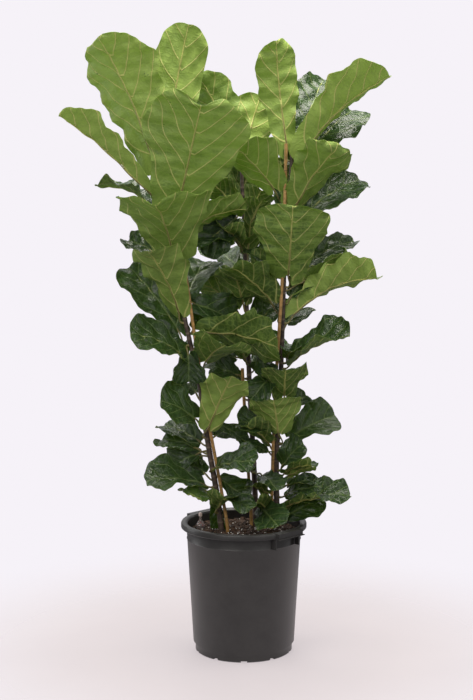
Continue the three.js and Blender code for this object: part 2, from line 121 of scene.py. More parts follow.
softbox("overhead", (0.1, 0.1, 3.7), (0, 0, 1.0), 2.6, 2.4, 215, "#fffaf0")
softbox("front_left", (-1.7, -3.4, 2.7), (-0.1, 0, 0.9), 2.8, 2.2, 66, "#fffcf6")
softbox("front_right", (2.3, -3.0, 2.2), (0.1, 0, 0.8), 2.2, 2.2, 26, "#fffcf8")
softbox("side_left", (-2.3, 0.7, 1.2), (0, 0, 0.6), 0.9, 2.2, 15, "#ffffff")
softbox("side_right", (2.3, 0.7, 1.2), (0, 0, 0.6), 0.9, 2.2, 6, "#ffffff")
softbox("back", (-0.4, 3.0, 2.2), (0, 0, 1.2), 2.4, 1.8, 14, "#ffffff")

world = bpy.data.worlds.new("studio")
world.use_nodes = True
world.node_tree.nodes.clear()
room = world.node_tree
seen = node(room, "ShaderNodeBackground", {"Color": srgb(ROOM_WHITE), "Strength": 1.0})
given = node(room, "ShaderNodeBackground", {"Color": srgb(ROOM_WHITE), "Strength": ROOM_LIGHT})
direct = node(room, "ShaderNodeLightPath")
sky = node(room, "ShaderNodeMixShader", {0: direct, 1: given, 2: seen})
node(room, "ShaderNodeOutputWorld", {"Surface": sky})
scene.world = world


def floor_material():
    """Painted studio floor: pale and matt, thinning out into the white of the room."""
    made, tree = new_material("painted_floor")
    place = node(tree, "ShaderNodeNewGeometry")
    reach = node(tree, "ShaderNodeVectorMath", {0: place}, take=1, operation="LENGTH")
    mottle = node(tree, "ShaderNodeTexNoise", {"Vector": place, "Scale": 1 / (333 * MM), "Detail": 4.0})
    paint = node(
        tree,
        "ShaderNodeValToRGB",
        {"Fac": mottle},
        stops=[(0.3, "#696566"), (0.7, "#6f6b6c")],
    )
    skin = node(
        tree,
        "ShaderNodeBsdfPrincipled",
        {"Base Color": paint, "Roughness": 0.7, "Emission Color": srgb("#f0e6e9"), "Emission Strength": 0.6},
    )
    clear = node(tree, "ShaderNodeBsdfTransparent")
    fade = node(
        tree,
        "ShaderNodeMapRange",
        {"Value": reach, "From Min": STAGE_FADE[0], "From Max": STAGE_FADE[1]},
        interpolation_type="SMOOTHSTEP",
    )
    blend = node(tree, "ShaderNodeMixShader", {0: fade, 1: skin, 2: clear})
    node(tree, "ShaderNodeOutputMaterial", {"Surface": blend})
    return made


def add_mesh(name, points, faces, materials, marks=None, angle=180):
    """A mesh object. Each face is (corner numbers, material number). marks are values at each point.

    Edges sharper than angle, in degrees, stay sharp."""
    mesh = bpy.data.meshes.new(name)
    mesh.from_pydata([tuple(p) for p in points], [], [f for f, _ in faces])
    for made in materials:
        mesh.materials.append(made)
    mesh.polygons.foreach_set("material_index", [m for _, m in faces])
    mesh.polygons.foreach_set("use_smooth", [True] * len(faces))
    for key, values in (marks or {}).items():
        values = np.asarray(values, float)
        kind, slot = ("FLOAT_VECTOR", "vector") if values.ndim > 1 else ("FLOAT", "value")
        mesh.attributes.new(key, kind, "POINT").data.foreach_set(slot, values.ravel())
    if angle < 180:
        mesh.set_sharp_from_angle(angle=math.radians(angle))
    made = bpy.data.objects.new(name, mesh)
    scene.collection.objects.link(made)
    return made


turns = np.linspace(0, 2 * math.pi, STAGE_CORNERS, endpoint=False)
rim = [(STAGE_RADIUS * math.cos(a), STAGE_RADIUS * math.sin(a), 0) for a in turns]
floor = add_mesh("floor", rim, [(tuple(range(STAGE_CORNERS)), 0)], [floor_material()])


# ---- Materials ---------------------------------------------------------------------------------

VEIN_WIDTH = 2.1 * MM  # half-width of a side vein and the paler tissue beside it, on a large leaf
VEIN_SPACING = 56 * MM  # between side veins
NET_CELL = 13 * MM  # size of the cells of the net between the side veins, coarser than real to show
BLOTCH = 45.45 * MM  # size of the lighter and darker blotches of a leaf
CRUMPLE = 13.33 * MM  # size of the small crumples of a leaf's skin
NET_SHARE = 0.45  # how much of the net's colour shows


def leaf_material(name, blade, vein, net, glow, rough, wax, sunk, glow_share, drawn):
    """One side of a leaf. blade's colours run from young to old, and a leaf's tone along them also paints
    light and shade into it. drawn is how strongly its veins show.

    wax is its specular level, and glow_share how much of it is light that comes through, coloured glow."""
    made, tree = new_material(name)
    flat = node(tree, "ShaderNodeAttribute", take=1, attribute_name="flat")
    phase = node(tree, "ShaderNodeAttribute", take=2, attribute_name="phase")
    spacing = node(tree, "ShaderNodeAttribute", take=2, attribute_name="spacing")
    age_and_painted_light = node(tree, "ShaderNodeAttribute", take=2, attribute_name="age_and_painted_light")
    parts = node(tree, "ShaderNodeSeparateXYZ", {0: flat})
    along = parts.node.outputs[2]
    # Side veins: the distance to the nearest one, stretched on small leaves so that their veins are finer
    wave = node(tree, "ShaderNodeMath", {0: phase, 1: 0.5}, operation="PINGPONG")
    apart = node(
        tree,
        "ShaderNodeMapRange",
        {"Value": spacing, "From Min": 20 * MM, "From Max": 60 * MM, "To Min": 36 * MM, "To Max": 60 * MM},
    )
    away = node(tree, "ShaderNodeMath", {0: wave, 1: apart}, operation="MULTIPLY")
    side_vein = node(
        tree,
        "ShaderNodeMapRange",
        {
            "Value": away,
            "From Min": VEIN_WIDTH * 0.4,
            "From Max": VEIN_WIDTH * 1.6,
            "To Min": 1.0,
            "To Max": 0.0,
        },
        interpolation_type="SMOOTHSTEP",
    )
    # Midrib: 3.2 mm to each side at the stalk, 1.2 mm at the tip
    across = node(tree, "ShaderNodeMath", {0: parts}, operation="ABSOLUTE")
    taper = node(tree, "ShaderNodeMapRange", {"Value": along, "To Min": 3.2 * MM, "To Max": 1.2 * MM})
    inside = node(tree, "ShaderNodeMath", {0: across, 1: taper}, operation="DIVIDE")
    midrib = node(
        tree,
        "ShaderNodeMapRange",
        {"Value": inside, "From Min": 0.7, "From Max": 1.4, "To Min": 1.0, "To Max": 0.0},
        interpolation_type="SMOOTHSTEP",
    )
    veins = node(tree, "ShaderNodeMath", {0: side_vein, 1: midrib}, operation="MAXIMUM")
    # Fine net
    cells = node(
        tree,
        "ShaderNodeTexVoronoi",
        {"Vector": flat, "Scale": 1 / NET_CELL},
        feature="DISTANCE_TO_EDGE",
        voronoi_dimensions="2D",
    )
    mesh_line = node(
        tree,
        "ShaderNodeMapRange",
        {"Value": cells, "From Min": 0.02, "From Max": 0.16, "To Min": 1.0, "To Max": 0.0},
    )
    # Colour: age and painted light and shade, blotches, then the net and the veins
    blotch = node(
        tree, "ShaderNodeTexNoise", {"Vector": flat, "Scale": 1 / BLOTCH, "Detail": 3.0, "Roughness": 0.6}
    )
    older = node(
        tree,
        "ShaderNodeMath",
        {0: blotch, 1: 0.9, 2: age_and_painted_light},
        operation="MULTIPLY_ADD",
    )
    tint = node(
        tree,
        "ShaderNodeValToRGB",
        {"Fac": older},
        stops=[(0.42, blade[0]), (0.84, blade[1]), (1.0, blade[2])],
    )
    netted = node(
        tree,
        "ShaderNodeMix",
        {0: mesh_line, 6: tint, 7: srgb(net)},
        take=2,
        data_type="RGBA",
    )
    soften = node(tree, "ShaderNodeMix", {0: NET_SHARE, 6: tint, 7: netted}, take=2, data_type="RGBA")
    fading = node(tree, "ShaderNodeMapRange", {"Value": age_and_painted_light, "To Min": drawn * 1.1, "To Max": drawn * 0.4})
    strength = node(tree, "ShaderNodeMath", {0: veins, 1: fading}, operation="MULTIPLY")
    colour = node(
        tree,
        "ShaderNodeMix",
        {0: strength, 6: soften, 7: srgb(vein)},
        take=2,
        data_type="RGBA",
    )
    # Relief: veins sunk above and standing underneath, over a finely crumpled skin
    crumple = node(
        tree, "ShaderNodeTexNoise", {"Vector": flat, "Scale": 1 / CRUMPLE, "Detail": 2.0, "Roughness": 0.4}
    )
    way = -1 if sunk else 1
    relief = node(tree, "ShaderNodeMath", {0: veins, 1: 1.1 * way, 2: crumple}, operation="MULTIPLY_ADD")
    relief = node(
        tree, "ShaderNodeMath", {0: mesh_line, 1: 0.35 * way, 2: relief}, operation="MULTIPLY_ADD"
    )
    raised = node(tree, "ShaderNodeBump", {"Height": relief, "Distance": 1.0 * MM, "Strength": 1.0})
    skin = node(
        tree,
        "ShaderNodeBsdfPrincipled",
        {
            "Base Color": colour,
            "Roughness": rough,
            "IOR": 1.45,
            "Specular IOR Level": wax,
            "Normal": raised,
        },
    )
    shine = node(
        tree,
        "ShaderNodeMix",
        {0: strength, 6: srgb(glow), 7: srgb(vein)},
        take=2,
        data_type="RGBA",
    )
    through = node(tree, "ShaderNodeBsdfTranslucent", {"Color": shine, "Normal": raised})
    both = node(tree, "ShaderNodeMixShader", {0: glow_share, 1: skin, 2: through})
    node(tree, "ShaderNodeOutputMaterial", {"Surface": both})
    return made


# Waxy upper skin of a leaf, grown: dark green with a soft shine, and pale side veins in furrows.
waxy_leaf_top = leaf_material(
    "waxy_leaf_top",
    blade=("#617e39", "#3d5530", "#243620"),
    vein="#869c58",
    net="#4a6534",
    glow="#9fbf3a",
    rough=0.22,
    wax=0.5,
    sunk=True,
    glow_share=0.22,
    drawn=0.6,
)
# Matt underside of a leaf, grown: olive green with raised tan veins, bright where light comes through.
matt_leaf_under = leaf_material(
    "matt_leaf_under",
    blade=("#a6bf60", "#809b4c", "#536a36"),
    vein="#d6d884",
    net="#9fb45e",
    glow="#aec94a",
    rough=0.45,
    wax=0.3,
    sunk=False,
    glow_share=0.38,
    drawn=1.0,
)


def plain_grown(name, low, high, grain_mm, rough, mark="", mark_code="#000000", bump_mm=0.3):
    """A grown skin with a mottle of two colours and a fine grain. mark names the value at each point

    that brings in the colour mark_code."""
    made, tree = new_material(name)
    place = node(tree, "ShaderNodeNewGeometry")
    mottle = node(tree, "ShaderNodeTexNoise", {"Vector": place, "Scale": 1 / (11.11 * MM), "Detail": 4.0})
    grain = node(
        tree,
        "ShaderNodeTexNoise",
        {"Vector": place, "Scale": 1 / (grain_mm * MM), "Detail": 4.0, "Roughness": 0.65},
    )
    colour = node(tree, "ShaderNodeValToRGB", {"Fac": mottle}, stops=[(0.35, low), (0.65, high)])
    if mark:
        worn = node(tree, "ShaderNodeAttribute", take=2, attribute_name=mark)
        colour = node(
            tree, "ShaderNodeMix", {0: worn, 6: colour, 7: srgb(mark_code)}, take=2, data_type="RGBA"
        )
    raised = node(tree, "ShaderNodeBump", {"Height": grain, "Distance": bump_mm * MM, "Strength": 0.9})
    skin = node(
        tree,
        "ShaderNodeBsdfPrincipled",
        {"Base Color": colour, "Roughness": rough, "Normal": raised},
    )
    node(tree, "ShaderNodeOutputMaterial", {"Surface": skin})
    return made


# Leaf stalk and midrib, grown: smooth, brownish olive at the stem and yellow-green towards the tip.
grown_stalk = plain_grown("grown_stalk", "#655c33", "#7f7843", 2.5, 0.45, "young", "#b4b75f", 0.15)
# Stem bark, grown: dark purplish brown, finely cracked, with pale rings where leaves fell.
grown_bark = plain_grown("grown_bark", "#2f2723", "#57473c", 2.0, 0.6, "scar", "#8a7a66", 0.5)
# Bud sheath, grown: dark purple, smooth and thin.
grown_sheath = plain_grown("grown_sheath", "#3a2a2e", "#5a3f42", 3.0, 0.4, bump_mm=0.15)
# Bamboo cane, grown and dried: tan and silky, with a dark groove at each joint.
dried_bamboo = plain_grown("dried_bamboo", "#8f6c3e", "#b89055", 6.0, 0.42, "joint", "#4f3a24", 0.15)
# Pine bark, shredded and composted: dull red-brown to black, very rough.
shredded_bark = plain_grown("shredded_bark", "#241a15", "#5a4231", 3.0, 0.9, bump_mm=0.9)
# Perlite, popped by heat: chalk-white foam grains.
popped_perlite = plain_grown("popped_perlite", "#c9c6bf", "#f2f0ea", 0.8, 0.85)


def moulded_plastic(name, low, high, rough, grain_mm, bump_mm):
    """A moulded plastic with a fine texture from its mould and faint scuffs."""
    made, tree = new_material(name)
    place = node(tree, "ShaderNodeNewGeometry")
    scuff = node(
        tree,
        "ShaderNodeTexNoise",
        {"Vector": place, "Scale": 1 / (55.56 * MM), "Detail": 6.0, "Roughness": 0.65},
    )
    colour = node(tree, "ShaderNodeValToRGB", {"Fac": scuff}, stops=[(0.35, low), (0.68, high)])
    gloss = node(
        tree, "ShaderNodeMapRange", {"Value": scuff, "To Min": rough - 0.07, "To Max": rough + 0.09}
    )
    grain = node(
        tree, "ShaderNodeTexNoise", {"Vector": place, "Scale": 1 / (grain_mm * MM), "Detail": 2.0}
    )
    raised = node(tree, "ShaderNodeBump", {"Height": grain, "Distance": bump_mm * MM, "Strength": 0.6})
    skin = node(
        tree,
        "ShaderNodeBsdfPrincipled",
        {
            "Base Color": colour,
            "Roughness": gloss,
            "IOR": 1.5,
            "Normal": raised,
        },
    )
    node(tree, "ShaderNodeOutputMaterial", {"Surface": skin})
    return made


# Recycled polypropylene, injection moulded: grey-black with a satin shine and a faint mould grain.
moulded_polypropylene = moulded_plastic("moulded_polypropylene", "#252423", "#302f2e", 0.38, 2.5, 0.1)
# Soft vinyl band, moulded: dull black.
moulded_vinyl = moulded_plastic("moulded_vinyl", "#1b1a1a", "#2a2827", 0.55, 1.5, 0.15)
# Ampoule tip, moulded polyethylene: pale pink and waxy.
moulded_tip = moulded_plastic("moulded_tip", "#d6a9a3", "#ecd6cf", 0.4, 2.0, 0.1)


def clear_material(name, code, rough, passing):
    """A see-through plastic or liquid; passing is the share of light that goes through it."""
    made, tree = new_material(name)
    place = node(tree, "ShaderNodeNewGeometry")
    haze = node(tree, "ShaderNodeTexNoise", {"Vector": place, "Scale": 1 / (8.33 * MM), "Detail": 2.0})
    gloss = node(tree, "ShaderNodeMapRange", {"Value": haze, "To Min": rough, "To Max": rough + 0.15})
    skin = node(
        tree,
        "ShaderNodeBsdfPrincipled",
        {"Base Color": srgb(code), "Roughness": gloss, "IOR": 1.45, "Transmission Weight": passing},
    )
    node(tree, "ShaderNodeOutputMaterial", {"Surface": skin})
    return made


# Ampoule wall, blown polyethylene: milky clear.
blown_polyethylene = clear_material("blown_polyethylene", "#f3e6e2", 0.12, 0.85)
# Liquid plant food: dark wine red.
liquid_feed = clear_material("liquid_feed", "#5a1420", 0.05, 0.35)


# ---- Reading the CAD solids --------------------------------------------------------------------


WELD_STEP = 1e5  # points closer than a hundredth of a millimetre are one point


def read_loft(name, sides):
    """The rings of points of a CAD solid lofted from a start point to an end point, in order."""
    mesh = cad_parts[name].data
    points = np.array([v.co for v in mesh.vertices])
    keys, index = np.unique(np.round(points * WELD_STEP).astype(int), axis=0, return_inverse=True)
    index = index.reshape(-1)
    place = np.zeros((len(keys), 3))
    place[index] = points
    corners = [[int(index[v]) for v in p.vertices] for p in mesh.polygons]
    corners = [c for c in corners if len(set(c)) == 3]
    valence = np.bincount(np.array(corners).ravel())
    poles = [int(v) for v in np.nonzero(valence == sides)[0]]
    spread = {}
    for pole in poles:
        ring = {v for c in corners if pole in c for v in c} - {pole}
        spread[pole] = max(np.linalg.norm(place[v] - place[pole]) for v in ring)
    start, end = sorted(poles, key=lambda pole: spread[pole])
    if name.startswith(("stem", "cane")):
        start, end = sorted(poles, key=lambda pole: place[pole][2])
    after = {}
    for c in corners:
        if start in c:
            k = c.index(start)
            after[c[(k + 2) % 3]] = c[(k + 1) % 3]
    ring = [next(iter(after))]
    while len(ring) < sides:
        ring.append(after[ring[-1]])
    rings = [ring]
    used = {start, *ring}
    while True:
        last = set(rings[-1])
        above = {}
        for c in corners:
            for k in range(3):
                a, b, d = c[k], c[(k + 1) % 3], c[(k + 2) % 3]
                if a in last and b in last and d not in used and d != end:
                    above[b] = d
        if len(above) < sides:
            break
        rings.append([above[v] for v in rings[-1]])
        used.update(rings[-1])
    return place[start], place[np.array(rings)], place[end]


def unit(v):
    """v at length one, along its last axis."""
    return v / np.maximum(np.linalg.norm(v, axis=-1, keepdims=True), 1e-9)


def walked_along(path):
    """The distance along a path at each of its points."""
    return np.concatenate([[0], np.cumsum(np.linalg.norm(np.diff(path, axis=0), axis=1))])


def smooth_along(knots, values, wanted):
    """values at knots, carried smoothly to the wanted places: a cubic with a slope at each knot."""
    knots = np.asarray(knots, float)
    values = np.asarray(values, float)
    slopes = np.gradient(values, knots, axis=0)
    span = np.clip(np.searchsorted(knots, wanted, side="right") - 1, 0, len(knots) - 2)
    step = knots[span + 1] - knots[span]
    t = (wanted - knots[span]) / step
    shape = (-1,) + (1,) * (values.ndim - 1)
    t, step = t.reshape(shape), step.reshape(shape)
    a, b = values[span], values[span + 1]
    return (
        (2 * t**3 - 3 * t**2 + 1) * a
        + (t**3 - 2 * t**2 + t) * step * slopes[span]
        + (3 * t**2 - 2 * t**3) * b
        + (t**3 - t**2) * step * slopes[span + 1]
    )


def tube(path, radii, sides):
    """Points and faces of a round tube along a path, with flat ends."""
    path, radii = np.asarray(path), np.asarray(radii)
    ahead = unit(np.gradient(path, axis=0))
    side = np.cross([0.0, 1.0, 0.0] if abs(ahead[0][1]) < 0.9 else [1.0, 0.0, 0.0], ahead[0])
    points = []
    for middle, along, radius in zip(path, ahead, radii):
        side = side - along * np.dot(side, along)
        side = side / np.linalg.norm(side)
        back = np.cross(along, side)
        for turn in np.linspace(0, 2 * math.pi, sides, endpoint=False):
            points.append(middle + radius * (math.cos(turn) * side + math.sin(turn) * back))
    faces = []
    for i in range(len(path) - 1):
        for j in range(sides):
            k = (j + 1) % sides
            low, high = i * sides, (i + 1) * sides
            faces.append((low + j, low + k, high + k, high + j))
    faces.append(tuple(reversed(range(sides))))
    faces.append(tuple(range((len(path) - 1) * sides, len(path) * sides)))
    return np.array(points), faces


# ---- Leaves ------------------------------------------------------------------------------------

# Places along a CAD leaf's blade where it has a ring of points, from stalk to tip.
BLADE_KNOTS = [0.0, 0.04, 0.15, 0.3, 0.46, 0.62, 0.77, 0.89, 0.965]
BLADE_ROWS = 58
BLADE_COLUMNS = 23
BLADE_THICK = 0.8 * MM
LOFT_SIDES = 9  # points in each ring of a CAD leaf or stem
PUCKER = 3.6 * MM  # how far a blade bulges between its side veins
LOBE = 0.09  # how far a blade's two lobes reach back beside the stalk, as a share of its length
WAVE_TURN = 6.28  # one full wave, in radians
LEAF_SEED = 700
PROBE_ROW = 20  # a row in the broad part of a blade, where its facing is tested
RIB_ROWS = 11  # points along the midrib
RIB_RADII = (1.9, 0.7)  # mm, at the foot and near the tip of the midrib
STALK_RADII = np.array([4.2, 3.2, 2.47]) * MM  # inside the stem, at its skin and at the blade
ROD_STEPS = 44
ROD_SIDES = 8


def leaf_lines(name):
    """From a CAD leaf: the ends of its stalk, and its blade's middle, half-way and edge lines."""
    root, rings, tip = read_loft(name, LOFT_SIDES)
    blade = rings[2:]
    around = np.arange(LOFT_SIDES)
    widths = [sum(np.linalg.norm(r[k] - r[(k + 4) % LOFT_SIDES]) for r in blade) for k in around]
    order = (around + int(np.argmax(widths))) % LOFT_SIDES
    blade = blade[:, order]
    ridge = (blade[:, 6] + blade[:, 7]) / 2
    thick = unit(blade[:, 2] - ridge)
    middle = (blade[:, 2] + ridge) / 2 + thick * BLADE_THICK
    return {
        "root": root,
        "knee": rings[1].mean(0),
        "middle": middle,
        "near": [(blade[:, 1] + blade[:, 8]) / 2 - middle, (blade[:, 3] + blade[:, 5]) / 2 - middle],
        "edge": [blade[:, 0] - middle, blade[:, 4] - middle],
        "tip": tip,
    }


def blade_rows(lines, rng):
    """Where a blade's rows lie along it, and its middle, half-way and edge lines at each row."""
    share = np.linspace(0, 1, BLADE_ROWS) ** 0.92
    share = np.sin(share * math.pi / 2) * 0.35 + share * 0.65
    share = share * 0.996
    knots = BLADE_KNOTS + [1.0]
    middle = smooth_along(knots, np.vstack([lines["middle"], lines["tip"][None]]), share)
    last = BLADE_KNOTS[-1]
    inner = np.minimum(share, last)
    rounding = np.where(share > last, np.sqrt(np.maximum(1 - share, 0) / (1 - last)), 1.0)
    near, edge = [], []
    for half, rim in zip(lines["near"], lines["edge"]):
        lobes = rng.uniform(2.2, 3.4)
        start = rng.uniform(0, WAVE_TURN)
        swell = 1 + 0.06 * np.sin(share * lobes * WAVE_TURN + start) * np.minimum(1, share * 4)
        swell = (swell * rounding)[:, None]
        near.append(smooth_along(BLADE_KNOTS, half, inner) * swell)
        edge.append(smooth_along(BLADE_KNOTS, rim, inner) * swell)
    return share, middle, near, edge


def blade_height(rng, share, sides, across, phase, length, width, wave):
    """How far each point of a blade stands above its smooth surface: puckers, dents and a wavy edge."""
    far_out = np.abs(sides)[None]
    size = np.abs(across)
    calm = np.minimum(1, size / (0.25 * width)) * (1 - far_out**6)
    bulge = np.sqrt(np.sin(math.pi * phase) ** 2 + 0.05) - 0.7
    height = PUCKER * bulge * calm
    u, v = across / MM, (share * length / MM)[:, None]
    for _ in range(3):
        turn, far = rng.uniform(0, 2 * math.pi), rng.uniform(30, 62)
        start = rng.uniform(0, 2 * math.pi)
        walked = u * math.cos(turn) + v * math.sin(turn)
        height = height + 0.36 * PUCKER * np.sin(walked * WAVE_TURN / far + start)
    rim_wave = far_out**3 * np.minimum(1, size / (0.5 * width))
    for side in (-1, 1):
        start, far = rng.uniform(0, 2 * math.pi), rng.uniform(52, 80)
        part = wave * rim_wave * np.sin(v * WAVE_TURN / far + start) * (np.sign(sides)[None] == side)
        height = height + part + 0.4 * part * np.sin(v * WAVE_TURN / (far * 0.43) + start * 2)
    flop = rng.uniform(-1, 1, 2) * 1.6 * wave
    bend = np.sin(share * rng.uniform(4, 7) + rng.uniform(0, WAVE_TURN))[:, None] * far_out**1.5
    flops = np.where(sides < 0, flop[0], flop[1])[None]
    return height + bend * flops * np.minimum(1, size / (0.4 * width))


def blade_grid(lines, rng, wave, roll, notch):
    """The fine middle surface of a blade, its up directions, and what its materials need to know."""
    share, middle, near, edge = blade_rows(lines, rng)
    length = np.linalg.norm(np.diff(middle, axis=0), axis=1).sum()
    width = max(np.linalg.norm(e, axis=1).max() for e in edge)
    tangent = unit(np.gradient(middle, axis=0))
    up = unit(np.cross(tangent, edge[0] - edge[1]))
    sides = np.linspace(-1, 1, BLADE_COLUMNS)
    grid = np.zeros((BLADE_ROWS, BLADE_COLUMNS, 3))
    for j, s in enumerate(sides):
        a = abs(s)
        which = 0 if s >= 0 else 1
        grid[:, j] = middle + near[which] * (4 * a * (1 - a)) + edge[which] * (a * (2 * a - 1))
    across = np.linalg.norm(edge[0], axis=1)[:, None] * sides[None]
    out = np.abs(across) / width
    # Side veins leave the midrib by turns, left and right, and hang back towards the stalk
    veins = max(4, round(length / VEIN_SPACING))
    hang = (0.85 * out + 0.5 * out**2) * width / length
    phase = veins * (share[:, None] - hang) + 0.22 * np.clip(sides * 11, -1, 1)[None]
    height = blade_height(rng, share, sides, across, phase, length, width, wave)
    grid = grid + up[:, None] * height[..., None]
    lobe = LOBE * length * np.exp(-((share / 0.13) ** 2))[:, None] * np.abs(sides)[None] ** 1.4
    cut = np.exp(-((out / 0.32) ** 2)) * np.clip((share - 0.8) / 0.2, 0, 1)[:, None] ** 2
    grid = grid - tangent[:, None] * (lobe + notch * MM * cut)[..., None]
    if roll:
        begin, turn = roll
        grid = roll_tip(grid, middle, up, share, length, begin, math.radians(turn))
    along = np.broadcast_to(share[:, None], across.shape)
    flat = np.stack([across, along * length, along], -1)
    return grid, up, flat, phase, length / veins


def roll_tip(grid, middle, up, share, length, begin, turn):
    """The end of a blade rolled up about a line across it; a positive turn rolls towards its top."""
    k = int(np.searchsorted(share, begin))
    axis_up, ahead = up[k], unit(middle[k] - middle[k - 1])
    radius = (1 - begin) * length / abs(turn)
    sign = math.copysign(1, turn)
    rolled = grid.copy()
    for i in range(k + 1, len(share)):
        angle = abs(turn) * (share[i] - begin) / (1 - begin)
        centre = middle[k] + ahead * radius * math.sin(angle)
        centre = centre + axis_up * sign * radius * (1 - math.cos(angle))
        offset = grid[i] - middle[i]
        fore, rise = offset @ ahead, offset @ axis_up
        side = offset - fore[:, None] * ahead - rise[:, None] * axis_up
        c, s = math.cos(angle), math.sin(angle) * sign
        fore, rise = fore * c - rise * s, fore * s + rise * c
        rolled[i] = centre + side + fore[:, None] * ahead + rise[:, None] * axis_up
    return rolled


stem_lines = {}
for side in ("left", "centre", "right"):
    _, rings, _ = read_loft(f"stem_{side}", LOFT_SIDES)
    line = rings.mean(1)
    stem_lines[side] = line, np.linalg.norm(rings - line[:, None], axis=2).mean(1)


def stem_at(side, height):
    """The middle of a stem at a height, and its radius there."""
    path, radii = stem_lines[side]
    place = np.array([np.interp(height, path[:, 2], path[:, k]) for k in range(3)])
    return place, float(np.interp(height, path[:, 2], radii))


def make_leaf(name, side, lines, number, age_and_painted_light, wave=8, roll=None, notch=6):
    """A leaf with its stalk and midrib as one piece."""
    rng = np.random.default_rng(LEAF_SEED + number)
    grid, up, flat, phase, spacing = blade_grid(lines, rng, wave * MM, roll, notch)
    count = BLADE_ROWS * BLADE_COLUMNS
    at = np.arange(count).reshape(BLADE_ROWS, BLADE_COLUMNS).tolist()
    along_rows = np.gradient(grid, axis=0)
    along_columns = np.gradient(grid, axis=1)
    normal = unit(np.cross(along_columns, along_rows))
    if (normal * up[:, None]).sum(-1).mean() < 0:
        normal = -normal
    thin = BLADE_THICK / 2
    points = np.vstack([(grid + normal * thin).reshape(-1, 3), (grid - normal * thin).reshape(-1, 3)])
    faces = []
    probe = (PROBE_ROW, BLADE_COLUMNS // 2)
    right_way = np.dot(np.cross(along_columns[probe], along_rows[probe]), up[PROBE_ROW]) > 0
    for i in range(BLADE_ROWS - 1):
        for j in range(BLADE_COLUMNS - 1):
            quad = (at[i][j], at[i][j + 1], at[i + 1][j + 1], at[i + 1][j])
            if not right_way:
                quad = quad[::-1]
            faces.append((quad, 0))
            faces.append((tuple(count + v for v in quad[::-1]), 1))
    loop = at[0] + [row[-1] for row in at[1:]] + at[-1][-2::-1] + [row[0] for row in at[-2:0:-1]]
    for a, b in zip(loop, loop[1:] + loop[:1]):
        quad = (a, a + count, b + count, b)
        faces.append((quad if right_way else quad[::-1], 1))
    # Stalk from inside the stem, then the midrib under the blade
    centre, _ = stem_at(side, lines["root"][2])
    inside = centre + (lines["root"] - centre) * 0.55
    ribs = [int(v) for v in np.linspace(1, BLADE_ROWS * 0.86, RIB_ROWS)]
    half = grid[:, BLADE_COLUMNS // 2]
    rib_radius = np.linspace(*RIB_RADII, RIB_ROWS) * MM
    under = np.array([half[i] - up[i] * (r * 0.75) for i, r in zip(ribs, rib_radius)])
    path = np.vstack([inside, lines["root"], lines["knee"], under])
    radii = np.concatenate([STALK_RADII, rib_radius])
    distance = walked_along(path)
    wanted = np.linspace(0, distance[-1], ROD_STEPS)
    line, radius = smooth_along(distance, path, wanted), smooth_along(distance, radii, wanted)
    rod, rod_faces = tube(line, radius, ROD_SIDES)
    first = len(points)
    points = np.vstack([points, rod])
    faces += [(tuple(first + v for v in f), 2) for f in rod_faces]
    fill = len(rod)
    paler = np.linspace(-0.3, 1.0, ROD_STEPS).clip(0, 1)
    marks = {
        "flat": np.vstack([flat.reshape(-1, 3), flat.reshape(-1, 3), np.zeros((fill, 3))]),
        "phase": np.concatenate([phase.ravel(), phase.ravel(), np.zeros(fill)]),
        "spacing": np.full(2 * count + fill, spacing),
        "age_and_painted_light": np.full(2 * count + fill, age_and_painted_light),
        "young": np.concatenate([np.zeros(2 * count), np.repeat(paler, ROD_SIDES)]),
    }
    leaf = add_mesh(name, points, faces, [waxy_leaf_top, matt_leaf_under, grown_stalk], marks, 60)
    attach(leaf, "root")
    return leaf


# The places along a blade, its half-width as a share of the widest, and how far its edge hangs back.
BLADE_HALVES = [0.12, 0.36, 0.54, 0.68, 0.85, 0.99, 0.97, 0.77, 0.45]
BLADE_HANGS = [0.02, 0.05, 0.03, 0.0, 0.0, 0.0, 0.0, 0.0, 0.0]
MIX_DIP = 6 * MM  # how far the mix is lower at the pot's wall than in its middle
mix_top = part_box("potting_mix")[1].z
INNER_CURL = 22  # degrees that a small leaf's tip drops
INNER_FOLD = 14  # degrees that its two halves rise from the midrib
INNER_CUP = 8  # degrees more that they rise at its edge


def cos_sin(angle):
    """The cosine and sine of an angle in degrees."""
    return math.cos(math.radians(angle)), math.sin(math.radians(angle))


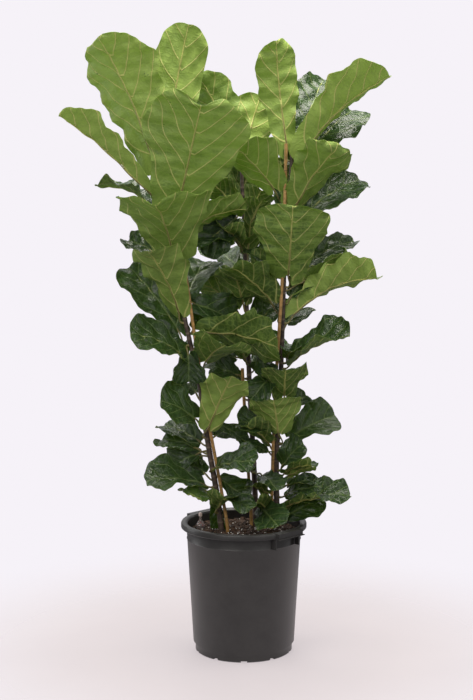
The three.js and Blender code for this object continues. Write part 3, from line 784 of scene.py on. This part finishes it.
def inner_lines(side, at, reach, face, wide, stalk=30, turn=0, lift=15):
    """The lines of a leaf that has no CAD solid, in the same form as leaf_lines.

    at is the height of its foot on the stem, reach goes from there to its tip, wide is its width and
    stalk its stalk's length, in mm. face is the way that its top faces. turn is how far round the stem
    its stalk starts, and lift how steeply it leaves, in degrees."""
    centre, thick = stem_at(side, mix_top - MIX_DIP + at * MM)
    straight = np.array(reach) * MM
    c, s = cos_sin(turn)
    out = unit(straight * [1, 1, 0])
    out = np.array([out[0] * c - out[1] * s, out[0] * s + out[1] * c, 0])
    root, tip = centre + out * (thick + 3.6 * MM), centre + straight
    chord = tip - root
    length, ahead = np.linalg.norm(chord), unit(chord)
    normal = unit(np.array(face) - ahead * np.dot(face, ahead))
    c, s = cos_sin(lift)
    first = root + (ahead * c + normal * s) * length * 0.36
    c, s = cos_sin(INNER_CURL)
    second = tip - (ahead * c - normal * s) * length * 0.36
    t = np.linspace(0, 1, 120)[:, None]
    curve = (1 - t) ** 3 * root + 3 * (1 - t) ** 2 * t * first + 3 * (1 - t) * t * t * second + t**3 * tip
    walked = walked_along(curve)
    begin = stalk * MM / walked[-1]
    wanted = (begin + np.array(BLADE_KNOTS) * (1 - begin)) * walked[-1]
    middle = np.array([[np.interp(w, walked, curve[:, k]) for k in range(3)] for w in wanted])
    tangent = np.gradient(curve, walked, axis=0)
    tangent = unit(np.array([[np.interp(w, walked, tangent[:, k]) for k in range(3)] for w in wanted]))
    up = unit(normal - tangent * (tangent @ normal)[:, None])
    across = np.cross(up, tangent)
    flat_near, rise_near = cos_sin(INNER_FOLD)
    flat_far, rise_far = cos_sin(INNER_FOLD + INNER_CUP)
    half = np.array(BLADE_HALVES)[:, None] * wide / 2 * MM
    back = np.array(BLADE_HANGS)[:, None] * length * (1 - begin)
    near, edge = [], []
    for sign in (1, -1):
        inner = (across * sign * flat_near + up * rise_near) * half * 0.5
        outer = (across * sign * flat_far + up * rise_far) * half * 0.5
        near.append(inner - tangent * back * 0.25)
        edge.append(inner + outer - tangent * back)
    knee = np.array([np.interp(begin * 0.9 * walked[-1], walked, curve[:, k]) for k in range(3)])
    return {
        "root": root,
        "knee": knee,
        "middle": middle,
        "near": near,
        "edge": edge,
        "tip": tip,
    }


# How each leaf differs from the usual: its tone from 0, young, to 1, old, which also paints light and shade
# into its blade, lighter for a brightly lit leaf and darker for a shaded one; the height of its edge's waves
# in mm; where its tip starts to roll, and by how many degrees; and the depth in mm of the notch in it.
LEAF_LOOKS = {
    "leaf_left_01": {"age_and_painted_light": 0.1, "wave": 5},
    "leaf_left_02": {"age_and_painted_light": 0.04, "roll": (0.93, 60)},
    "leaf_left_03": {"age_and_painted_light": 0.0, "wave": 6},
    "leaf_left_05": {"age_and_painted_light": 0.27, "wave": 7, "notch": 38},
    "leaf_left_06": {"age_and_painted_light": 0.35},
    "leaf_left_07": {"age_and_painted_light": 0.3, "wave": 9},
    "leaf_left_09": {"age_and_painted_light": 0.26},
    "leaf_left_15": {"age_and_painted_light": 0.12},
    "leaf_right_01": {"age_and_painted_light": 0.14, "wave": 9},
    "leaf_right_03": {"age_and_painted_light": 0.0, "wave": 5},
    "leaf_right_05": {"age_and_painted_light": 0.28, "wave": 6},
    "leaf_right_06": {"age_and_painted_light": 0.3, "roll": (0.8, 120)},
    "leaf_right_08": {"age_and_painted_light": 0.35, "roll": (0.66, 200)},
    "leaf_right_09": {"age_and_painted_light": 0.42, "notch": 12},
    "leaf_right_11": {"age_and_painted_light": 0.15},
    "leaf_right_14": {"age_and_painted_light": 0.3},
    "leaf_centre_01": {"age_and_painted_light": 0.0, "wave": 6},
    "leaf_centre_02": {"age_and_painted_light": 0.32, "wave": 5},
}

# Leaf tones where none is listed; leaves deep in the plant are darker.
CAD_LEAF_AGE = 0.55
INNER_LEAF_TONE = 0.7
INNER_WAVE = 6
number = 0
for name in sorted(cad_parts):
    if name.startswith("leaf_"):
        number += 1
        looks = {"age_and_painted_light": CAD_LEAF_AGE, **LEAF_LOOKS.get(name, {})}
        side = name.split("_")[1]
        grown = name.replace("leaf", "grown_leaf")
        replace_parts(make_leaf(grown, side, leaf_lines(name), number, **looks), name)

# Small leaves deep in the plant, from the top of each stem down, as inner_lines and LEAF_LOOKS have it.
INNER_LEAVES = {
    "left": [
        {"at": 775, "reach": [150, 110, 30], "face": [0.1, -0.4, 0.9], "wide": 130},
        {"at": 725, "reach": [-140, 105, 70], "face": [0, -0.6, 0.8], "wide": 90},
        {"at": 640, "reach": [150, 120, -80], "face": [0.2, -0.8, 0.5], "wide": 130},
        {"at": 550, "reach": [45, 95, 35], "face": [0, -0.7, 0.6], "wide": 75},
        {"at": 520, "reach": [-5, -30, -100], "face": [0.1, -0.9, 0.1], "wide": 95, "lift": 40, "turn": -60},
        {"at": 510, "reach": [-45, 80, -10], "face": [0, -0.4, 0.9], "wide": 80},
        {"at": 370, "reach": [-40, 70, 40], "face": [0, -0.7, 0.6], "wide": 70},
        {"at": 315, "reach": [115, 45, -70], "face": [0.3, -0.7, 0.6], "wide": 50},
        {"at": 260, "reach": [50, 75, 10], "face": [0, -0.7, 0.6], "wide": 85},
        {"at": 245, "reach": [-130, 95, 40], "face": [0, -0.5, 0.8], "wide": 95},
        {"at": 230, "reach": [-105, 50, -55], "face": [-0.1, -0.8, 0.5], "wide": 105},
        {"at": 215, "reach": [-60, 60, -20], "face": [0, -0.7, 0.6], "wide": 95},
        {"at": 150, "reach": [-75, 60, 40], "face": [0, -0.6, 0.7], "wide": 75},
        {"at": 130, "reach": [14, 40, -135], "face": [-0.3, -0.8, 0.4], "wide": 50, "lift": 35},
        {
            "at": 92,
            "reach": [-85, -92, 36],
            "face": [0.1, -0.35, 0.9],
            "wide": 72,
            "age_and_painted_light": 0.2,
            "wave": 9,
            "stalk": 20,
        },
        {"at": 60, "reach": [20, -105, 62], "face": [0, 0.2, 1], "wide": 90, "turn": -60},
    ],
    "centre": [
        {"at": 905, "reach": [15, 70, 80], "face": [0, 0.7, 0.5], "wide": 110},
        {"at": 890, "reach": [-75, 90, 100], "face": [0.1, 0.8, 0.4], "wide": 120},
        {"at": 866, "reach": [-80, -10, 80], "face": [0, 0.8, 0.5], "wide": 95},
        {"at": 865, "reach": [-125, -70, -90], "face": [0.2, -0.9, 0.2], "wide": 120, "lift": 40},
        {"at": 835, "reach": [50, 0, 100], "face": [0, 0.8, 0.5], "wide": 95},
        {"at": 815, "reach": [50, -20, 90], "face": [0, 0.5, 0.6], "wide": 90},
        {"at": 775, "reach": [-95, -40, 75], "face": [0.1, 0.8, 0.4], "wide": 110},
        {"at": 735, "reach": [15, -25, 115], "face": [0, 0.8, 0.4], "wide": 95},
        {"at": 715, "reach": [45, 115, 45], "face": [0, -0.5, 0.8], "wide": 130},
        {"at": 640, "reach": [90, -60, 110], "face": [0, 0.7, 0.5], "wide": 130},
        {"at": 600, "reach": [-40, -90, 130], "face": [0, 0.85, 0.4], "wide": 115},
        {"at": 550, "reach": [110, 85, 75], "face": [0, -0.5, 0.8], "wide": 140},
        {"at": 510, "reach": [-60, -125, 35], "face": [0, -0.3, 0.9], "wide": 90},
        {"at": 500, "reach": [50, -110, -80], "face": [0.6, -0.7, 0.3], "wide": 70, "lift": 35},
        {"at": 470, "reach": [-110, 60, -10], "face": [0, -0.7, 0.6], "wide": 110},
        {"at": 455, "reach": [-25, -60, 60], "face": [0, 0.8, 0.5], "wide": 65},
        {"at": 415, "reach": [-110, -10, 35], "face": [0, -0.7, 0.6], "wide": 100},
        {"at": 355, "reach": [-70, 40, 60], "face": [0, -0.6, 0.7], "wide": 80},
        {"at": 340, "reach": [20, -65, 50], "face": [0.2, -0.5, 0.8], "wide": 65},
        {"at": 215, "reach": [-50, -45, 40], "face": [0, -0.5, 0.8], "wide": 60},
        {"at": 155, "reach": [-50, -120, 30], "face": [0, -0.5, 0.8], "wide": 80},
    ],
    "right": [
        {"at": 905, "reach": [-25, 55, 120], "face": [0, 0.8, 0.4], "wide": 75},
        {"at": 810, "reach": [40, 115, 145], "face": [0, -0.7, 0.5], "wide": 150},
        {"at": 720, "reach": [-75, 60, 60], "face": [0, -0.7, 0.6], "wide": 120},
        {"at": 705, "reach": [200, 105, 85], "face": [-0.1, -0.7, 0.6], "wide": 80},
        {"at": 635, "reach": [-95, 95, 20], "face": [0, -0.6, 0.7], "wide": 150},
        {"at": 625, "reach": [65, 45, 65], "face": [0, -0.6, 0.7], "wide": 80},
        {"at": 555, "reach": [45, 130, 40], "face": [0, -0.6, 0.7], "wide": 120},
        {"at": 480, "reach": [-60, 40, -60], "face": [-0.1, -0.8, 0.5], "wide": 80, "lift": 35},
        {"at": 470, "reach": [-85, -95, 55], "face": [0, -0.2, 0.9], "wide": 85, "turn": -80},
        {"at": 465, "reach": [25, -85, 45], "face": [0.2, -0.5, 0.8], "wide": 60, "turn": 60},
        {"at": 430, "reach": [-85, -95, -55], "face": [-0.2, -0.8, 0.4], "wide": 85, "lift": 35, "turn": -80},
        {"at": 325, "reach": [80, 40, 45], "face": [0, -0.6, 0.7], "wide": 70},
        {"at": 280, "reach": [-115, -75, 35], "face": [0, -0.7, 0.6], "wide": 85, "turn": -80},
        {"at": 225, "reach": [-85, -105, 85], "face": [0.1, 0.6, 0.7], "wide": 95, "turn": -80},
        {"at": 210, "reach": [-75, -70, 35], "face": [0, -0.5, 0.8], "wide": 75, "turn": -60},
        {"at": 170, "reach": [75, -70, 90], "face": [-0.1, -0.7, 0.6], "wide": 90},
        {"at": 150, "reach": [95, -120, 55], "face": [-0.1, 0.5, 0.8], "wide": 70},
        {"at": 140, "reach": [100, -50, 50], "face": [0, 0.7, 0.5], "wide": 55, "age_and_painted_light": 0.3},
        {"at": 120, "reach": [105, -40, 25], "face": [0, -0.3, 0.9], "wide": 60},
        {"at": 85, "reach": [-75, -90, 60], "face": [0, 0.4, 0.8], "wide": 60, "turn": -80},
        {"at": 70, "reach": [85, 55, 30], "face": [0.1, -0.7, 0.6], "wide": 95},
        {"at": 60, "reach": [140, -115, 50], "face": [0, 0.3, 0.9], "wide": 65},
        {"at": 40, "reach": [-60, -110, 65], "face": [0.1, 0.8, 0.4], "wide": 70, "turn": -80},
        {"at": 30, "reach": [128, -5, 62], "face": [0, -0.75, 0.6], "wide": 105},
    ],
}

for side, leaves in INNER_LEAVES.items():
    for k, habit in enumerate(leaves):
        number += 1
        looks = {"age_and_painted_light": habit.pop("age_and_painted_light", INNER_LEAF_TONE), "wave": habit.pop("wave", INNER_WAVE)}
        lines = inner_lines(side, **habit)
        make_leaf(f"inner_leaf_{side}_{k + 1:02d}", side, lines, number, **looks)

# ---- Stems and canes ---------------------------------------------------------------------------

ROUND_SIDES = 14
BUMP_STEPS = np.array([-4, -2, -1, 0, 1, 2, 4]) * MM  # extra rings round each scar or joint
rng = np.random.default_rng(41)


def spaced(length, low, high, seed):
    """Places along a length, spaced unevenly between low and high, in mm."""
    draw = np.random.default_rng(seed)
    found, at = [], 30 * MM
    while at < length - 15 * MM:
        found.append(at)
        at += draw.uniform(low, high) * MM
    return found


def ridged_tube(name, cad_name, sides, gaps, swell, groove, material, mark, steps):
    """A fine round tube on a CAD one's middle line, with a ring or joint at each of its places.

    gaps is the least and most between two places, in mm, and the seed of their spacing."""
    _, rings, _ = read_loft(cad_name, sides)
    path = rings.mean(1)
    radii = np.linalg.norm(rings - path[:, None], axis=2).mean(1)
    distance = walked_along(path)
    places = spaced(distance[-1], *gaps)
    wanted = np.linspace(0, distance[-1], steps)
    for place in places:
        wanted = np.concatenate([wanted, place + BUMP_STEPS])
    wanted = np.unique(np.clip(wanted, 0, distance[-1]))
    wanted = wanted[np.concatenate([[True], np.diff(wanted) > 0.3 * MM])]
    line = smooth_along(distance, path, wanted)
    radius = smooth_along(distance, radii, wanted)
    shade = np.zeros(len(wanted))
    for place in places:
        near = np.exp(-(((wanted - place) / (2.4 * MM)) ** 2))
        dip = np.exp(-(((wanted - place) / (0.9 * MM)) ** 2))
        radius = radius * (1 + swell * near - groove * dip)
        shade = np.maximum(shade, dip if groove else near * rng.uniform(0.1, 0.65))
    points, faces = tube(line, radius, ROUND_SIDES)
    marks = {mark: np.repeat(shade, ROUND_SIDES)}
    made = add_mesh(name, points, [(f, 0) for f in faces], [material], marks, 50)
    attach(made, "root")
    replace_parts(made, cad_name)


for k, side in enumerate(("left", "centre", "right")):
    bark, bamboo = (14, 38, 50 + k), (90, 150, 60 + k)
    stem, cane = f"stem_{side}", f"cane_{side}"
    ridged_tube(f"bark_{stem}", stem, LOFT_SIDES, bark, 0.09, 0.0, grown_bark, "scar", 90)
    ridged_tube(f"bamboo_{cane}", cane, 8, bamboo, 0.16, 0.2, dried_bamboo, "joint", 40)


# ---- Pot, ties and ampoule ---------------------------------------------------------------------

TURNED_SIDES = 32


def finish_node(name, material, angle):
    """A CAD node kept as it is, with a material, welded and shaded smooth except at its edges."""
    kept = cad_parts[name]
    kept.data.materials.clear()
    kept.data.materials.append(material)
    for key in ("custom_normal", "sharp_face", "sharp_edge"):
        if key in kept.data.attributes:
            kept.data.attributes.remove(kept.data.attributes[key])
    kept.data.polygons.foreach_set("use_smooth", [True] * len(kept.data.polygons))
    weld = kept.modifiers.new("weld", "WELD")
    weld.merge_threshold = 0.02 * MM
    split = kept.modifiers.new("edges", "EDGE_SPLIT")
    split.split_angle = math.radians(angle)


finish_node("pot", moulded_polypropylene, 40)
finish_node("potting_mix", shredded_bark, 30)
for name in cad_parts:
    if name.startswith("tie_"):
        finish_node(name, moulded_vinyl, 40)
finish_node("feeder_cap", moulded_tip, 40)


def turned(name, outline, centre, material):
    """A closed round piece. outline is its (radius, height) pairs in metres, from the foot up."""
    points, faces = [], []
    steps = TURNED_SIDES
    for radius, height in outline:
        for turn in np.linspace(0, 2 * math.pi, steps, endpoint=False):
            points.append((centre[0] + radius * math.cos(turn), centre[1] + radius * math.sin(turn), height))
    for i in range(len(outline) - 1):
        for j in range(steps):
            k = (j + 1) % steps
            faces.append(((i * steps + j, i * steps + k, (i + 1) * steps + k, (i + 1) * steps + j), 0))
    faces.append((tuple(reversed(range(steps))), 0))
    faces.append((tuple(range((len(outline) - 1) * steps, len(outline) * steps)), 0))
    made = add_mesh(name, points, faces, [material], None, 40)
    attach(made, "root")
    return made


# The ampoule: a ribbed wall in one piece, and the feed that half fills it.
low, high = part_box("feeder_bottle")
axis = ((low.x + high.x) / 2, (low.y + high.y) / 2)
radius = (high.x - low.x) / 2
tall = high.z - low.z
wall = [(radius - 2 * MM, low.z + 0.5 * MM)]
for k in range(11):
    wall.append((radius - (1.2 * MM if k % 2 else 0), low.z + tall * (0.04 + 0.058 * k)))
wall += [(radius * 0.97, low.z + tall * 0.66), (radius * 0.8, low.z + tall * 0.72)]
wall += [(radius * 0.5, low.z + tall * 0.79), (radius * 0.3, low.z + tall * 0.87), (radius * 0.26, high.z)]
bottle = turned("blown_ampoule", wall, axis, blown_polyethylene)
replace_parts(bottle, "feeder_bottle")
feed = [(max(r - 1.6 * MM, 1 * MM), z + 1 * MM) for r, z in wall[:-4]]
turned("feed_in_ampoule", feed, axis, liquid_feed)


# ---- Potting mix: bark chips and perlite grains on its surface ---------------------------------


def scattered(name, count, low_mm, high_mm, flatness, material, seed, lift):
    """Many small angular grains lying on the mix inside the pot, as one piece.

    They are low_mm to high_mm long, flatness is their thickness as a share of that, and they stand up
    to lift mm above the mix."""
    draw = np.random.default_rng(seed)
    low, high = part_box("potting_mix")
    widest = (high.x - low.x) / 2 - 7 * MM
    corners = np.array([[x, y, z] for x in (-1, 1) for y in (-1, 1) for z in (-1, 1)], float)
    quads = [(0, 1, 3, 2), (4, 6, 7, 5), (0, 4, 5, 1), (2, 3, 7, 6), (0, 2, 6, 4), (1, 5, 7, 3)]
    points, faces = [], []
    for _ in range(count):
        r, turn = widest * math.sqrt(draw.uniform(0, 1)), draw.uniform(0, 2 * math.pi)
        size = draw.uniform(low_mm, high_mm) * MM / 2
        shape = corners * [size, size * draw.uniform(0.45, 0.8), size * flatness * draw.uniform(0.6, 1.4)]
        shape = shape * draw.uniform(0.6, 1.0, (8, 1))
        tilt, spin = draw.normal(0, 0.35), draw.uniform(0, 2 * math.pi)
        c, s = math.cos(tilt), math.sin(tilt)
        shape = shape @ np.array([[1, 0, 0], [0, c, -s], [0, s, c]])
        c, s = math.cos(spin), math.sin(spin)
        shape = shape @ np.array([[c, -s, 0], [s, c, 0], [0, 0, 1]])
        top = mix_top - MIX_DIP * min(1.0, (r / widest) ** 1.3)
        first = len(points)
        points.extend(shape + [r * math.cos(turn), r * math.sin(turn), top + draw.uniform(0, lift) * MM])
        faces.extend((tuple(first + v for v in q), 0) for q in quads)
    made = add_mesh(name, points, faces, [material], None, 25)
    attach(made, "root")


scattered("bark_chips", 1500, 7, 22, 0.28, shredded_bark, 71, 4.0)
scattered("perlite_grains", 420, 2.5, 5.5, 0.8, popped_perlite, 72, 5.5)


# The closed bud at the top of each stem: a pointed sheath, dark and glossy. A lean is x and y per height.
BUD_HEIGHT = 52 * MM
BUD_SUNK = 4 * MM  # how far a bud starts inside its stem
BUD_LEANS = {"left": (-0.25, -0.05), "centre": (-0.1, 0.05), "right": (0.1, 0.0)}
for side, lean in BUD_LEANS.items():
    path, radii = stem_lines[side]
    share = np.linspace(0, 1, 14)
    bud = path[-1] + np.outer(share, [*lean, 1.0]) * BUD_HEIGHT - [0, 0, BUD_SUNK]
    width = radii[-1] * (1.25 * np.sqrt(np.maximum(1 - share**1.6, 0.004)))
    points, faces = tube(bud, width, 12)
    made = add_mesh(f"bud_{side}", points, [(f, 0) for f in faces], [grown_sheath], None, 60)
    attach(made, "root")
